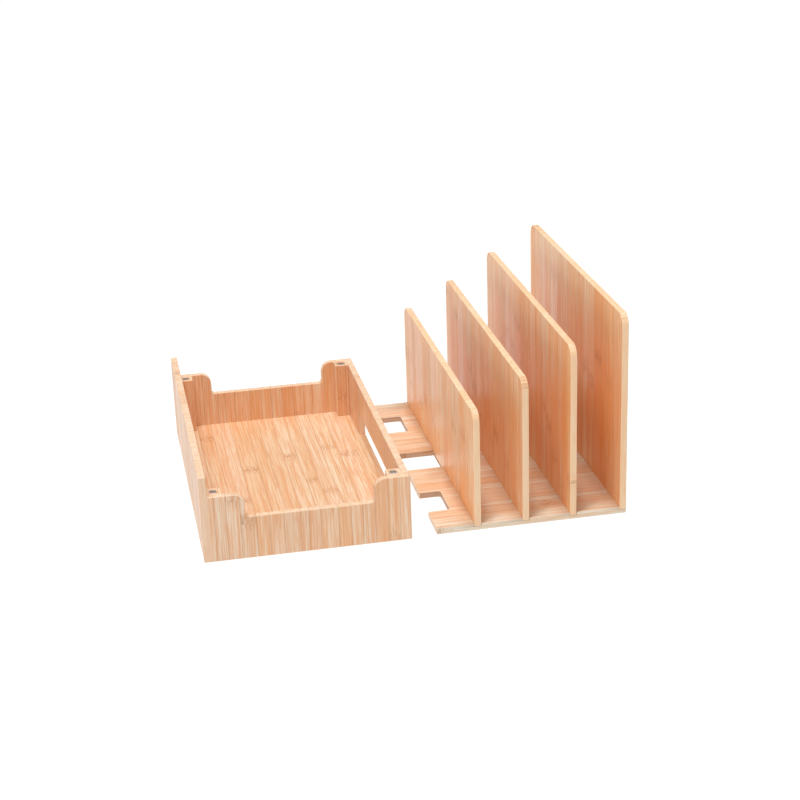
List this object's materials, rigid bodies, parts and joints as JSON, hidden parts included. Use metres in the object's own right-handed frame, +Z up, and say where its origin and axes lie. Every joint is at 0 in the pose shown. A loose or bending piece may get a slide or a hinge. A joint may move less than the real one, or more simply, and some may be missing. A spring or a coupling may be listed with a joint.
{
  "type": "desktop file sorter",
  "caption": "Bamboo desk organiser: a low open tray with a tall side fence and corner magnets, and a lift-off file sorter with upright dividers rising in steps.",
  "frame": {"origin": "on the desk, below the centre of the box that bounds the tray and the sorter standing side by side", "axes": "+X to the right, from the tray towards the tallest divider; +Y to the back; +Z up"},
  "size_m": [0.436, 0.35, 0.216],
  "materials": {
    "bamboo_pale": "laminated bamboo strips, satin clear lacquer",
    "bamboo_warm": "laminated bamboo strips, satin clear lacquer",
    "nickel": "dull nickel plate"
  },
  "bodies": {
    "tray": {"tray_floor": "bamboo_pale", "tray_left_wall": "bamboo_warm", "tray_right_wall": "bamboo_warm", "tray_front_wall": "bamboo_warm", "tray_rear_wall": "bamboo_warm", "post_front_left": "bamboo_warm", "post_front_right": "bamboo_warm", "post_rear_left": "bamboo_warm", "post_rear_right": "bamboo_warm", "magnet_front_left": "nickel", "magnet_front_right": "nickel", "magnet_rear_left": "nickel", "magnet_rear_right": "nickel"},
    "sorter": {"sorter_slab": "bamboo_warm", "divider_1": "bamboo_warm", "divider_2": "bamboo_warm", "divider_3": "bamboo_warm", "divider_4": "bamboo_warm", "steel_disc_front_left": "nickel", "steel_disc_front_right": "nickel", "steel_disc_rear_left": "nickel", "steel_disc_rear_right": "nickel"}
  },
  "joints": [
    {"name": "sorter_lift", "type": "slide", "parent": "tray", "child": "sorter", "axis": [0, 0, 1], "range_m": [0, 0.12]}
  ]
}
